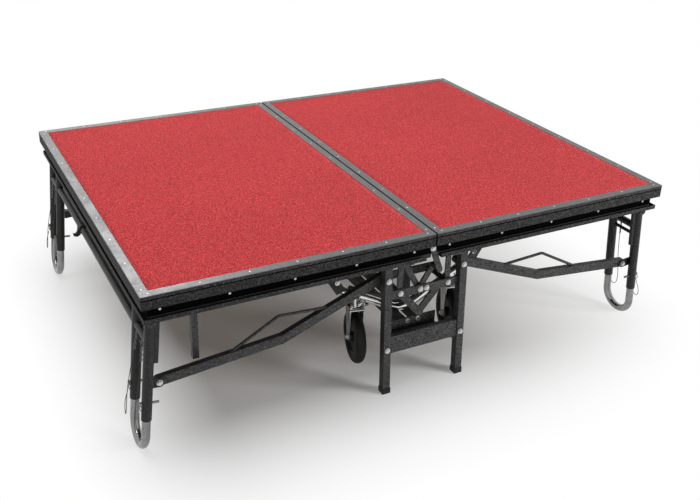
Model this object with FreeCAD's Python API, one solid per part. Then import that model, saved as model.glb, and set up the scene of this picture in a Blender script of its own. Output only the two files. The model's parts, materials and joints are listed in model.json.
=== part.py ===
import FreeCAD, Part
import math
import os

# Mobile folding stage platform, 6 ft by 8 ft, two deck halves on a wheeled centre carriage.
# Frame: X along the length, Y along the fold line, Z up, origin on the floor under the deck's
# centre.  Millimetres.  "front" is -Y, "rear" is +Y, "left" is -X, "right" is +X.

# ---- driving dimensions -------------------------------------------------------------------
deck_length = 2440.0
deck_width = 1830.0
stage_height = 740.0

# deck edge
frame_depth = 120.0          # top of the deck to the underside of its frame
trim_width = 38.0
fold_strip_width = 34.0
trim_thickness = 3.0
board_thickness = 18.0
fascia_height = 54.0
rail_wall = 2.5
web_inset = 28.0             # how far the rail's web stands back from the deck's edge
flange_inset = 9.0           # how far its bottom flange stands back
lip_height = 18.0
groove_drop = 13.0           # line along the fascia under the trim
groove_height = 1.6
groove_depth = 1.2
side_screw_count = 7
end_screw_count = 9
rail_screw_count = 5
screw_radius = 4.0
screw_height = 1.2
screw_corner = 33.0          # first trim screw from the corner
rail_screw_ends = (85.0, 75.0)       # from the fold and from the end
mitre_gap = 0.6

# under-deck steel
fold_rail_width = 30.0
bearer_width = 40.0
bearer_inset = 225.0         # bearer centre from the deck's side edge
cross_width = 40.0
cross_height = 40.0
inner_crosses = (330.0, 650.0)
tube_wall = 2.5

# fold hinge
fold_gap = 8.0               # between the two halves' strips
hinge_offset = 12.0          # pin from the centre plane
hinge_depth = 8.0            # pin below the deck's top
hinge_pin_radius = 2.5
knuckle_radius = 4.5
knuckle_length = 22.0
knuckle_clear = 1.5           # knuckle to the fold rail's face
lug_clear = 1.0               # lug to the leaf's knuckles
leaf_height = 42.0
leaf_length = 60.0
leaf_thickness = 2.5
hinge_count = 5
hinge_inset = 215.0          # outer stations from the deck's side edges
spine_thickness = 4.0
spine_rise = 20.0            # spine's bottom above the deck frame's
lug_thickness = 15.0
spine_shelf = 10.0            # spine's top under the pins, and depth of the lugs' roots
pin_over = 4.0                # hinge pins beyond the last leaves

# end legs
leg_splay = 5.5              # legs lean outwards, in degrees
leg_end_inset = 46.0         # pivot rod from the deck's end
leg_side_inset = 69.0        # outer leg axis from the deck's side edge
leg_spacing = 155.0
leg_tube_radius = 20.5
leg_tube_bottom = 168.0
leg_pivot_drop = 23.0        # leg pivot below the deck frame
leg_tube_head = 9.5          # tube above its pivot
leg_cap = 2.5                # closed top of the tube
leg_rod_radius = 6.5
ear_thickness = 6.0
ear_radius = 16.0
ear_clear = (6.0, 2.0)        # from the inner and the outer tube of a pair
rod_over = 2.0                # pivot rod beyond the ears
cross_tube_radius = 17.0
cross_tube_drop = 115.0      # below the deck frame
stay_rod_radius = 8.0
stay_rod_drop = 160.0        # below the deck frame
gusset_width = 15.0
gusset_drop = 203.0          # below the deck frame
collar_y = 180.0
collar_radius = 23.0
collar_length = 34.0
hook_thickness = 12.0
# catch on the collar, from the cross tube's axis
hook_outline = ((12.0, -10.0), (12.0, -30.0), (26.0, -38.0), (42.0, -34.0), (45.0, -22.0), (34.0, -24.0),
                (27.0, -14.0), (24.0, 8.0), (14.0, 12.0))
foot_radius = 17.5
foot_wall = 2.5
foot_top = 380.0
foot_travel = 100.0

# locking pins
pin_radius = 5.0
pin_z = 240.0
pin_tip = 26.0               # beyond the tube, inboard
pin_head_radius = 9.0
pin_head_length = 8.0
ring_radius = 14.0
ring_wire = 1.8

# braces between the centre posts and the end legs
brace_height = 40.0
brace_thickness = 25.0
brace_inset = 90.5           # brace's outer face from the deck's side edge
brace_bend = (637.0, 358.0)
lug_reach = 52.0             # lug's bolt inboard of the leg axis
lug_z = 312.0                # before the leg leans
lug_plate = 6.0
handle_radius = 6.5
handle_start_x = 404.0
handle_end_x = 892.0
handle_rise = (15.0, 106.0)  # from the brace's bend
handle_bend = 34.0

# centre posts
post_x = 184.0
post_splay = 3.0             # posts lean outwards, in degrees
post_inset = 71.0            # top of the post's axis from the deck's side edge
post_size = 34.0
post_bolt_drop = 85.0        # below the deck frame
post_top_gap = 2.0
low_bolt_z = 210.0
crossbar_bottom = 190.0
crossbar_height = 80.0
crossbar_width = 25.0
cap_height = 24.0
cap_wall = 2.5
cap_floor = 6.0
cap_trim = 3.0               # cut off level with the floor
cap_round = 2.0

# carriage
truss_inset = 225.0          # bent tubes' plane from the deck's side edge
plate_thickness = 8.0
vee_radius = 18.0
vee_half_base = 36.0
vee_base_z = 283.0
vee_end = (330.0, 446.0)
vee_bend = 70.0
link_height = 38.0
link_z = 458.0
link_inset = 69.0            # inner face of the outer link bar from the deck's side edge
link_bolt_x = 117.0
mid_bolts = (-21.0, 9.0)
strap_width = 25.0
saddle_thickness = 4.0
inner_link_over = 18.0        # inner link beyond its bolts
diagonal_top = (13.0, 14.0)   # inboard of the left strap, and under its saddle
saddle_length = 50.0
low_node_z = 325.0
low_link_width = 34.0
spacer_radius = 12.0
low_spacer_radius = 14.0
tie_radius = 10.0
tie_end = (292.0, 462.0)
upright_width = 60.0         # plate from the bent tube up to the spine
neck_width = 20.0            # its neck between the fold rails
neck_gap = 4.0               # wide part below the fold rails
foot_margin = 2.0            # its foot ends this far before the tube's bends
strut_top = 430.0
strut_width = 56.0
strut_bolt = (343.0, 492.0)
beam_x = 42.0
beam_size = 40.0
beam_over = 85.0             # beams beyond the bent tubes
cradle_half = 115.0
cradle_height = 60.0
cradle_thickness = 5.0
cradle_lip = 26.0
cradle_bolts = (-26.0, 26.0)
cradle_bolt_rise = 43.0
arm_width = 26.0
arm_thickness = 6.0
arm_top_rise = 44.0          # arm's upper bolt above the deck frame's bottom
arm_knee_x = 42.0
arm_knee_drop = 64.0
bolt_radius = 9.5
bolt_head = 6.5
bolt_crown = 8.2             # flat top of a head
bolt_slope = 1.73            # chamfer's run for its depth
washer_radius = 12.5
washer_thickness = 1.8
shank_radius = 5.0

# casters
kingpin_x = 243.0
wheel_radius = 120.0
wheel_width = 44.0
tyre_shoulder = 15.0
wheel_lift = 83.0
wheel_trail = 20.0
swivel_rest = -12.0          # degrees about Z
axle_radius = 8.0
axle_nut_radius = 13.0
axle_over = 11.0             # axle beyond the fork
hub_radius = 22.0
rim_radius = 78.0
fork_plate = 5.0
fork_gap = 6.0               # wheel side to fork leg
crown_gap = 17.0             # tyre to crown
crown_radius = 32.0
mount_bolt_pitch = 62.0
mount_bolt_radius = 6.5
mount_bolt_head = 5.0
mount_plate = 90.0
mount_thickness = 6.0
bearing_height = 12.0
bearing_inset = 4.0
yoke_front = 24.0             # yoke beyond the axle
yoke_back = 26.0              # yoke beyond the kingpin
boss_radius = 15.0
rim_inset = 6.0
rim_dish = 10.0

# stop post
stop_size = 26.0
stop_end_inset = 236.0
stop_side_inset = 155.0
stop_bottom = 335.0

# lanyards of one corner, from the cross tube down round the U foot to the pins' rings, with x from the
# legs' axis, before the legs lean
cord_radius = 1.5
lanyard_routes = (
    ((14, 805, 493.1), (15, 808, 440), (19, 815, 385), (26, 822, 328), (33, 826, 272), (38, 826, 218),
     (39, 823, 172), (39, 824, 139), (38, 832, 118), (37, 846, 110), (36, 860, 118), (35, 867, 138),
     (33, 864, 166), (30, 853, 190), (29, 848, 206)),
    ((14, 732, 493.1), (16, 728, 441), (20, 722, 386), (27, 715, 329), (33, 711, 272), (38, 711, 216),
     (40, 715, 168), (40, 714, 130), (39, 706, 107), (37, 692, 98), (35, 678, 107), (34, 670, 130),
     (32, 673, 162), (30, 683, 188), (29, 689, 206)),
)

# clearances
touch = 0.3                  # between faces of bodies that pass each other
running = 0.06               # radial, in bores that turn or slide
foot_play = 0.08             # radial, foot tube in its leg tube

# ---- derived ------------------------------------------------------------------------------
half_length = deck_length / 2
half_width = deck_width / 2
half_gap = fold_gap / 2
frame_bottom = stage_height - frame_depth
board_top = stage_height - trim_thickness
board_bottom = board_top - board_thickness
fascia_bottom = board_top - fascia_height
web_y = half_width - web_inset               # outer face of the side rail's web
rail_depth = web_inset + rail_wall
inner_y = half_width - rail_depth            # inner face of the side rails
inner_x = half_length - rail_depth
hinge_z = stage_height - hinge_depth
hinge_pitch = 2 * (half_width - hinge_inset) / (hinge_count - 1)
spine_bottom = frame_bottom + spine_rise
bearer_y = half_width - bearer_inset
stop_x = half_length - stop_end_inset
stop_y = half_width - stop_side_inset
cross_places = inner_crosses + (stop_x,)
fold_rail_x = hinge_offset + knuckle_radius + knuckle_clear
fold_rail_end = fold_rail_x + fold_rail_width
leg_x = half_length - leg_end_inset
leg_outer_y = half_width - leg_side_inset
leg_inner_y = leg_outer_y - leg_spacing
cross_tube_z = frame_bottom - cross_tube_drop
stay_rod_z = frame_bottom - stay_rod_drop
gusset_bottom = frame_bottom - gusset_drop
leg_pivot_z = frame_bottom - leg_pivot_drop
leg_tube_top = leg_pivot_z + leg_tube_head
brace_outer_y = half_width - brace_inset
brace_inner_y = brace_outer_y - brace_thickness
brace_mid_y = (brace_outer_y + brace_inner_y) / 2
lug_y = brace_outer_y + touch
lug_outer_y = lug_y + lug_plate
lug_drop = leg_pivot_z - lug_z
leg_sine = math.sin(math.radians(leg_splay))
leg_cosine = math.cos(math.radians(leg_splay))
lug_seat = (leg_x - lug_reach, lug_z)
brace_lug = (leg_x - lug_reach * leg_cosine + lug_drop * leg_sine,
             leg_pivot_z - lug_drop * leg_cosine - lug_reach * leg_sine)
post_y = half_width - post_inset
post_bolt_z = frame_bottom - post_bolt_drop
post_inner_face = post_y - post_size / 2
post_outer_face = post_y + post_size / 2
post_top = frame_bottom - post_top_gap
brace_post = (post_x, post_bolt_z)
post_sine = math.sin(math.radians(post_splay))
post_cosine = math.cos(math.radians(post_splay))
wheel_z = wheel_radius + wheel_lift
crown_z = wheel_z + wheel_radius + crown_gap
bearing_top = crown_z + fork_plate + bearing_height
mount_z = bearing_top + touch
arm_y = web_y + touch
link_half = post_x - post_size / 2 - touch
truss_y = half_width - truss_inset
beam_half_length = truss_y + beam_over
link_y = half_width - link_inset
cradle_bottom = vee_base_z - vee_radius - beam_size - cradle_thickness
cradle_bolt_z = cradle_bottom + cradle_bolt_rise
arm_top = (0.0, frame_bottom + arm_top_rise)
arm_knee = (arm_knee_x, frame_bottom - arm_knee_drop)
strap_y = link_y - plate_thickness
diag_y = strap_y - plate_thickness
low_y = diag_y - plate_thickness
SIDES = ((-1, "left"), (1, "right"))
ENDS = ((-1, "front"), (1, "rear"))


# ---- helpers ------------------------------------------------------------------------------
def vec(x, y, z):
    return FreeCAD.Vector(x, y, z)


def block(x0, x1, y0, y1, z0, z1):
    lo = vec(min(x0, x1), min(y0, y1), min(z0, z1))
    return Part.makeBox(abs(x1 - x0), abs(y1 - y0), abs(z1 - z0), lo)


def rod(radius, start, end):
    way = end.sub(start)
    return Part.makeCylinder(radius, way.Length, start, way)


def rod_y(radius, x, z, y0, y1):
    return rod(radius, vec(x, y0, z), vec(x, y1, z))


def rod_x(radius, y, z, x0, x1):
    return rod(radius, vec(x0, y, z), vec(x1, y, z))


def upright(radius, x, y, z0, z1):
    return rod(radius, vec(x, y, z0), vec(x, y, z1))


def plate_xz(points, y0, y1):
    """Flat plate across Y from an outline in XZ."""
    ring = [vec(x, y0, z) for x, z in points]
    face = Part.Face(Part.makePolygon(ring + ring[:1]))
    return face.extrude(vec(0, y1 - y0, 0))


def plan_prism(points, z0, z1):
    ring = [vec(x, y, z0) for x, y in points]
    face = Part.Face(Part.makePolygon(ring + ring[:1]))
    return face.extrude(vec(0, 0, z1 - z0))


def flat_link(p, q, width, y0, y1):
    """Flat bar with round ends between two points of the XZ plane."""
    length = math.hypot(q[0] - p[0], q[1] - p[1])
    nx = -(q[1] - p[1]) / length * width / 2
    nz = (q[0] - p[0]) / length * width / 2
    corners = [(p[0] + nx, p[1] + nz), (q[0] + nx, q[1] + nz), (q[0] - nx, q[1] - nz), (p[0] - nx, p[1] - nz)]
    bar = plate_xz(corners, y0, y1)
    ends = [rod_y(width / 2, x, z, y0, y1) for x, z in (p, q)]
    return bar.multiFuse(ends).removeSplitter()


def hollow_box(x0, x1, y0, y1, z0, z1, wall, along):
    """Square tube open at its two ends along one axis."""
    outer = block(x0, x1, y0, y1, z0, z1)
    dx, dy, dz = [0.0 if axis == along else wall for axis in "xyz"]
    inner = block(x0 + dx, x1 - dx, y0 + dy, y1 - dy, z0 + dz, z1 - dz)
    return outer.cut(inner)


def quad(shape, sx, sy):
    """A shape drawn in the right rear quarter, carried to another quarter."""
    if sx < 0:
        shape = shape.mirror(vec(0, 0, 0), vec(1, 0, 0))
    if sy < 0:
        shape = shape.mirror(vec(0, 0, 0), vec(0, 1, 0))
    return shape


def lean_leg(shape):
    """A piece of the right end's upright legs, leant outwards about their pivot rods."""
    leant = shape.copy()
    leant.rotate(vec(leg_x, 0, leg_pivot_z), vec(0, 1, 0), -leg_splay)
    return leant


def lean_post(shape):
    """A piece of the rear upright posts, leant outwards about their tops."""
    leant = shape.copy()
    leant.rotate(vec(0, post_y, post_top), vec(1, 0, 0), post_splay)
    return leant


def half_turn(shape):
    """The rear copy of a piece drawn at the front."""
    turned = shape.copy()
    turned.rotate(vec(0, 0, 0), vec(0, 0, 1), 180)
    return turned


def both_ends(pieces):
    return pieces + [half_turn(piece) for piece in pieces]


def hexagon(radius, x, z, y0, y1):
    ring = [(x + radius * math.cos(math.radians(60 * k)), z + radius * math.sin(math.radians(60 * k)))
            for k in range(6)]
    return plate_xz(ring, y0, y1)


def hex_head(x, z, seat, way):
    """Washer and chamfered head that sit on a face across Y; way is 1 towards +Y and -1 towards -Y."""
    base = seat + way * washer_thickness
    washer = rod_y(washer_radius, x, z, seat, base)
    head = hexagon(bolt_radius, x, z, base, base + way * bolt_head)
    cone = Part.makeCone(bolt_crown + bolt_head * bolt_slope, bolt_crown, bolt_head,
                         vec(x, base, z), vec(0, way, 0))
    return washer.fuse(head.common(cone))


def bent_path(points, radius):
    """Wire of straight runs joined by tangent arcs."""
    edges = []
    start = points[0]
    for before, corner, after in zip(points, points[1:], points[2:]):
        back = before.sub(corner).normalize()
        ahead = after.sub(corner).normalize()
        half = back.getAngle(ahead) / 2
        reach = radius / math.tan(half)
        first = corner + back * reach
        last = corner + ahead * reach
        bisector = (back + ahead).normalize()
        middle = corner + bisector * (radius / math.sin(half) - radius)
        edges.append(Part.LineSegment(start, first).toShape())
        edges.append(Part.Arc(first, middle, last).toShape())
        start = last
    edges.append(Part.LineSegment(start, points[-1]).toShape())
    return Part.Wire(edges)


def bent_rod(points, bend, radius):
    """Round bar along a bent path."""
    path = bent_path(points, bend)
    section = Part.Wire(Part.makeCircle(radius, points[0], points[1].sub(points[0])))
    return path.makePipeShell([section], True, False)


def save(name, shapes):
    solids = []
    for shape in shapes:
        solids.extend(shape.Solids)
    Part.makeCompound(solids).exportStep("parts/" + name + ".step")


# ---- deck halves (drawn as the right half) --------------------------------------------------
def deck_board():
    return block(fold_rail_x, half_length - rail_wall, -half_width + rail_wall, half_width - rail_wall,
                 board_bottom, board_top)


def deck_carpet():
    return block(half_gap + fold_strip_width, half_length - trim_width,
                 -half_width + trim_width, half_width - trim_width, board_top, stage_height)


def trim_bars():
    """Four flat bars, mitred at the corners like a picture frame."""
    x_out = (half_gap, half_length)
    x_in = (half_gap + fold_strip_width, half_length - trim_width)
    y_in = half_width - trim_width
    slit = mitre_gap / 2
    bars = []
    for outer, inner in zip(x_out, x_in):
        ring = [(outer, -half_width + slit), (inner, -y_in + slit),
                (inner, y_in - slit), (outer, half_width - slit)]
        bars.append(plan_prism(ring, board_top, stage_height))
    for side in (-1, 1):
        ring = [(x_out[0] + slit, side * half_width), (x_in[0] + slit, side * y_in),
                (x_in[1] - slit, side * y_in), (x_out[1] - slit, side * half_width)]
        bars.append(plan_prism(ring, board_top, stage_height))
    return bars


def rail_outline():
    """Edge profile as (distance in from the deck's edge, height)."""
    low = frame_bottom
    shelf = fascia_bottom + rail_wall
    groove = board_top - groove_drop
    return [(0, board_top), (0, groove), (groove_depth, groove), (groove_depth, groove - groove_height),
            (0, groove - groove_height), (0, fascia_bottom),
            (web_inset, fascia_bottom), (web_inset, low + rail_wall),
            (flange_inset + rail_wall, low + rail_wall), (flange_inset + rail_wall, low + lip_height),
            (flange_inset, low + lip_height), (flange_inset, low), (rail_depth, low),
            (rail_depth, shelf), (rail_wall, shelf), (rail_wall, board_bottom - rail_wall),
            (rail_depth, board_bottom - rail_wall), (rail_depth, board_bottom), (rail_wall, board_bottom),
            (rail_wall, board_top)]


def profile_rails():
    """The two side rails and the end rail, mitred, with the flange stopped short of the fold."""
    outline = rail_outline()
    end_ring = [vec(half_length - u, -half_width, z) for u, z in outline]
    end_rail = Part.Face(Part.makePolygon(end_ring + end_ring[:1])).extrude(vec(0, deck_width, 0))
    plan = [(half_length, -half_width), (half_length - rail_depth, -inner_y),
            (half_length - rail_depth, inner_y), (half_length, half_width)]
    rails = [end_rail.common(plan_prism(plan, frame_bottom, board_top))]
    notch_end = arm_knee[0] - arm_width / 4
    for side in (-1, 1):
        ring = [vec(half_gap, side * (half_width - u), z) for u, z in outline]
        rail = Part.Face(Part.makePolygon(ring + ring[:1])).extrude(vec(half_length - half_gap, 0, 0))
        plan = [(half_gap, side * half_width), (half_gap, side * inner_y),
                (half_length - rail_depth, side * inner_y), (half_length, side * half_width)]
        rail = rail.common(plan_prism(plan, frame_bottom, board_top))
        notch = block(half_gap, notch_end, side * web_y, side * half_width,
                      frame_bottom, frame_bottom + lip_height)
        rails.append(rail.cut(notch))
    return rails


def fold_rail():
    return hollow_box(fold_rail_x, fold_rail_end, -inner_y, inner_y,
                      frame_bottom, board_bottom, tube_wall, "y")


def under_frame():
    """Bearers along X and cross members between them."""
    pieces = []
    for side in (-1, 1):
        middle = side * bearer_y
        pieces.append(hollow_box(fold_rail_end, inner_x, middle - bearer_width / 2, middle + bearer_width / 2,
                                 frame_bottom, board_bottom, tube_wall, "x"))
    near = bearer_y - bearer_width / 2
    far = bearer_y + bearer_width / 2
    for place in cross_places:
        for y0, y1 in ((-inner_y, -far), (-near, near), (far, inner_y)):
            pieces.append(hollow_box(place - cross_width / 2, place + cross_width / 2, y0, y1,
                                     board_bottom - cross_height, board_bottom, tube_wall, "y"))
    return pieces


def station_places():
    first = -hinge_pitch * (hinge_count - 1) / 2
    return [first + hinge_pitch * k for k in range(hinge_count)]


def hinge_leaves():
    """Leaf on the fold rail with two knuckles round the pin, one leaf per station."""
    leaves = []
    face_x = fold_rail_x - leaf_thickness
    window = lug_thickness / 2 + lug_clear
    for y in station_places():
        leaf = block(face_x, fold_rail_x, y - leaf_length / 2, y + leaf_length / 2,
                     hinge_z - leaf_height, hinge_z)
        leaf = leaf.cut(block(face_x, fold_rail_x, y - window, y + window,
                              hinge_z - leaf_height / 2, hinge_z))
        for side in (-1, 1):
            outer = y + side * leaf_length / 2
            inner = outer - side * knuckle_length
            leaf = leaf.fuse(rod_y(knuckle_radius, hinge_offset, hinge_z, outer, inner))
            leaf = leaf.cut(rod_y(hinge_pin_radius + running, hinge_offset, hinge_z, outer, inner))
        leaves.append(leaf)
    return leaves


def leg_ears():
    """Ears on the end rail that hold the legs' pivot rods."""
    ears = []
    top = board_bottom - cross_height
    back = inner_x
    inner = leg_x - ear_radius - ear_thickness
    for side in (-1, 1):
        for y in (leg_inner_y - leg_tube_radius - ear_thickness - ear_clear[0],
                  leg_outer_y + leg_tube_radius + ear_clear[1]):
            y0 = side * y
            y1 = side * (y + ear_thickness)
            outline = [(inner, top), (back, top), (back, frame_bottom - touch),
                       (leg_x + ear_radius, frame_bottom - touch), (leg_x + ear_radius, leg_pivot_z),
                       (leg_x - ear_radius, leg_pivot_z), (inner, frame_bottom)]
            ear = plate_xz(outline, y0, y1).fuse(rod_y(ear_radius, leg_x, leg_pivot_z, y0, y1))
            ears.append(ear.cut(rod_y(leg_rod_radius + running, leg_x, leg_pivot_z, y0, y1)).removeSplitter())
    return ears


def stop_post(side):
    """Short square post under one corner of each half, with a rubber cap (drawn for the right half)."""
    x0 = stop_x - stop_size / 2
    y0 = side * stop_y - stop_size / 2
    tube = hollow_box(x0, x0 + stop_size, y0, y0 + stop_size, stop_bottom + cap_wall,
                      board_bottom - cross_height, tube_wall, "z")
    cap = block(x0, x0 + stop_size, y0, y0 + stop_size, stop_bottom, stop_bottom + cap_wall)
    return [tube, cap]


def spread(first, last, count):
    return [first + (last - first) * k / (count - 1) for k in range(count)]


def deck_screws():
    """Heads of the trim screws on top and of the rail screws in the recess."""
    edge = trim_width / 2
    octagon = [(math.cos(math.radians(45 * k)), math.sin(math.radians(45 * k))) for k in range(8)]

    def top_head(x, y):
        ring = [(x + screw_radius * c, y + screw_radius * s) for c, s in octagon]
        return plan_prism(ring, stage_height, stage_height + screw_height)

    heads = []
    for x in spread(screw_corner, half_length - screw_corner, side_screw_count):
        heads += [top_head(x, side * (half_width - edge)) for side in (-1, 1)]
    for y in spread(-half_width + screw_corner + edge, half_width - screw_corner - edge, end_screw_count):
        heads.append(top_head(half_length - edge, y))
        heads.append(top_head(half_gap + fold_strip_width / 2, y))
    recess_z = (fascia_bottom + frame_bottom + lip_height) / 2
    for x in spread(rail_screw_ends[0], half_length - rail_screw_ends[1], rail_screw_count):
        ring = [(x + screw_radius * c, recess_z + screw_radius * s) for c, s in octagon]
        heads += [plate_xz(ring, side * web_y, side * (web_y + screw_height)) for side in (-1, 1)]
    return heads


# ---- end leg frames (drawn upright as the right end, then leant) ------------------------------
def leg_tube(y):
    outer = upright(leg_tube_radius, leg_x, y, leg_tube_bottom, leg_tube_top)
    bore = upright(foot_radius + foot_play, leg_x, y, leg_tube_bottom, leg_tube_top - leg_cap)
    pivot = rod_y(leg_rod_radius, leg_x, leg_pivot_z, y - leg_tube_radius, y + leg_tube_radius)
    hole = rod_x(pin_radius + running, y, pin_z, leg_x - leg_tube_radius, leg_x + leg_tube_radius)
    return outer.cut(bore).cut(pivot).cut(hole)


def leg_tube_places():
    return [side * y for side in (-1, 1) for y in (leg_outer_y, leg_inner_y)]


def leg_crossbars():
    """Long tube joining all four leg tubes, coped to them, and the short stay rods of each pair."""
    long_tube = rod_y(cross_tube_radius, leg_x, cross_tube_z, -leg_outer_y, leg_outer_y)
    stays = [rod_y(stay_rod_radius, leg_x, stay_rod_z, side * leg_inner_y, side * leg_outer_y)
             for side in (-1, 1)]
    shapes = [long_tube] + stays
    posts = [upright(leg_tube_radius, leg_x, y, leg_tube_bottom, leg_tube_top) for y in leg_tube_places()]
    collar = rod_y(collar_radius, leg_x, cross_tube_z, collar_y, collar_y + collar_length)
    collar = collar.cut(rod_y(cross_tube_radius, leg_x, cross_tube_z, collar_y, collar_y + collar_length))
    hook_y = collar_y + collar_length / 2
    near = hook_y - hook_thickness / 2
    far = hook_y + hook_thickness / 2
    hook = plate_xz([(leg_x + x, cross_tube_z + z) for x, z in hook_outline], near, far)
    hook = hook.cut(rod_y(collar_radius, leg_x, cross_tube_z, near, far))
    return [shape.cut(Part.makeCompound(posts)) for shape in shapes] + [collar, hook]


def leg_brackets():
    """Pivot rods, gussets, and the lugs that take the braces, with their bolts."""
    pieces = []
    for side in (-1, 1):
        y0 = side * (leg_inner_y - leg_tube_radius - ear_clear[0] - ear_thickness - rod_over)
        y1 = side * (leg_outer_y + leg_tube_radius + ear_clear[1] + ear_thickness + rod_over)
        pieces.append(rod_y(leg_rod_radius, leg_x, leg_pivot_z, y0, y1))
        tube = upright(leg_tube_radius, leg_x, side * leg_outer_y, leg_tube_bottom, leg_tube_top)
        gusset = block(leg_x - leg_tube_radius - gusset_width, leg_x, side * leg_outer_y - gusset_width / 2,
                       side * leg_outer_y + gusset_width / 2, gusset_bottom, leg_pivot_z)
        pieces.append(gusset.cut(tube))
        x, z = lug_seat
        inner = side * lug_y
        outer = side * lug_outer_y
        lug = flat_link(lug_seat, (leg_x, z), brace_height, inner, outer)
        lug = lug.cut(upright(leg_tube_radius, leg_x, side * leg_outer_y, leg_tube_bottom, leg_tube_top))
        lug = lug.cut(block(leg_x, leg_x + brace_height, inner, outer, z - brace_height, z + brace_height))
        lug = lug.cut(rod_y(shank_radius, x, z, inner, outer))
        pieces.append(lug.Solids[0])
        pieces.append(rod_y(shank_radius, x, z, inner, outer).fuse(hex_head(x, z, outer, side)))
    return pieces


def u_foot():
    """Bent tube that telescopes in the two leg tubes of one corner (right rear)."""
    bend = leg_spacing / 2
    centre_y = leg_inner_y + bend
    reach = (leg_pivot_z - foot_radius) / leg_cosine         # pivot to the lowest axis point
    low = leg_pivot_z - reach + bend

    def u_bar(radius):
        legs = [upright(radius, leg_x, y, low, foot_top) for y in (leg_inner_y, leg_outer_y)]
        ring = Part.makeTorus(bend, radius, vec(leg_x, centre_y, low), vec(1, 0, 0))
        lower = block(leg_x - bend, leg_x + bend, centre_y - 2 * bend, centre_y + 2 * bend, -bend, low)
        return ring.common(lower).multiFuse(legs)

    foot = u_bar(foot_radius).cut(u_bar(foot_radius - foot_wall))
    for y in (leg_inner_y, leg_outer_y):
        slot = block(leg_x - bend, leg_x + bend, y - pin_radius - running, y + pin_radius + running,
                     pin_z, pin_z + foot_travel)
        ends = [rod_x(pin_radius + running, y, z, leg_x - bend, leg_x + bend)
                for z in (pin_z, pin_z + foot_travel)]
        foot = foot.cut(slot.multiFuse(ends))
    return foot


def lock_pins():
    """The two quick-release pins of one corner, each with its pull ring."""
    pins = []
    for y in (leg_inner_y, leg_outer_y):
        tip = leg_x - leg_tube_radius - pin_tip
        seat = leg_x + leg_tube_radius + touch
        pin = rod_x(pin_radius, y, pin_z, tip, seat)
        head = rod_x(pin_head_radius, y, pin_z, seat, seat + pin_head_length)
        ring = Part.makeTorus(ring_radius, ring_wire, vec(seat + pin_head_length / 2, y, pin_z - ring_radius),
                              vec(1, 0, 0))
        pins.append(pin.multiFuse([head, ring]))
    return pins


# ---- braces (drawn as the right rear one) ---------------------------------------------------
def height_at(p, q, x):
    return p[1] + (q[1] - p[1]) * (x - p[0]) / (q[0] - p[0])


def brace():
    runs = ((brace_post, brace_bend), (brace_bend, brace_lug))
    outer = [flat_link(p, q, brace_height, brace_inner_y, brace_outer_y) for p, q in runs]
    bore_height = brace_height - 2 * tube_wall
    inner = [flat_link(p, q, bore_height, brace_inner_y + tube_wall, brace_outer_y - tube_wall)
             for p, q in runs]
    tube = outer[0].fuse(outer[1]).removeSplitter().cut(inner[0].fuse(inner[1]))
    ends = [(handle_start_x, height_at(brace_post, brace_bend, handle_start_x)),
            (handle_end_x, height_at(brace_bend, brace_lug, handle_end_x))]
    peak = (brace_bend[0] + handle_rise[0], brace_bend[1] + handle_rise[1])
    points = [vec(x, brace_mid_y, z) for x, z in (ends[0], peak, ends[1])]
    handle = bent_rod(points, handle_bend, handle_radius)
    handle = handle.cut(inner[0].fuse(inner[1]))
    handle = max(handle.Solids, key=lambda piece: piece.Volume)
    x, z = brace_post
    sleeve = rod_y(spacer_radius, x, z, brace_inner_y + tube_wall, brace_outer_y - tube_wall)
    bar = tube.multiFuse([handle, sleeve])
    return bar.cut(rod_y(shank_radius + running, x, z, brace_inner_y, brace_outer_y))


# ---- centre post frames (drawn upright as the rear one, then leant) ---------------------------
def post_pair():
    posts = []
    for side in (-1, 1):
        x0 = side * post_x - post_size / 2
        tube = hollow_box(x0, x0 + post_size, post_inner_face, post_outer_face,
                          cap_floor, post_top, tube_wall, "z")
        shank = rod_y(shank_radius, side * post_x, low_bolt_z, post_inner_face, post_outer_face)
        tube = lean_post(tube.cut(shank))
        through = rod_y(shank_radius, side * post_x, post_bolt_z, post_y - post_size, post_y + post_size)
        posts.append(tube.cut(through))
    return posts


def post_crossbar():
    reach = post_x - post_size / 2
    return lean_post(hollow_box(-reach, reach, post_y - crossbar_width / 2, post_y + crossbar_width / 2,
                                crossbar_bottom, crossbar_bottom + crossbar_height, tube_wall, "x"))


def post_caps():
    """Rubber caps, cut level with the floor."""
    caps = []
    for side in (-1, 1):
        half = post_size / 2
        outer = block(side * post_x - half - cap_wall, side * post_x + half + cap_wall,
                      post_inner_face - cap_wall, post_outer_face + cap_wall, -cap_trim, cap_height)
        socket = block(side * post_x - half, side * post_x + half, post_inner_face, post_outer_face,
                       cap_floor, cap_height)
        upper = [edge for edge in outer.Edges if edge.BoundBox.ZLength > cap_height / 2]
        cap = lean_post(outer.makeFillet(cap_round, upper).cut(socket))
        caps.append(cap.cut(block(-half_length, half_length, 0.0, half_length, -2 * cap_height, 0.0)))
    return caps


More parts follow.
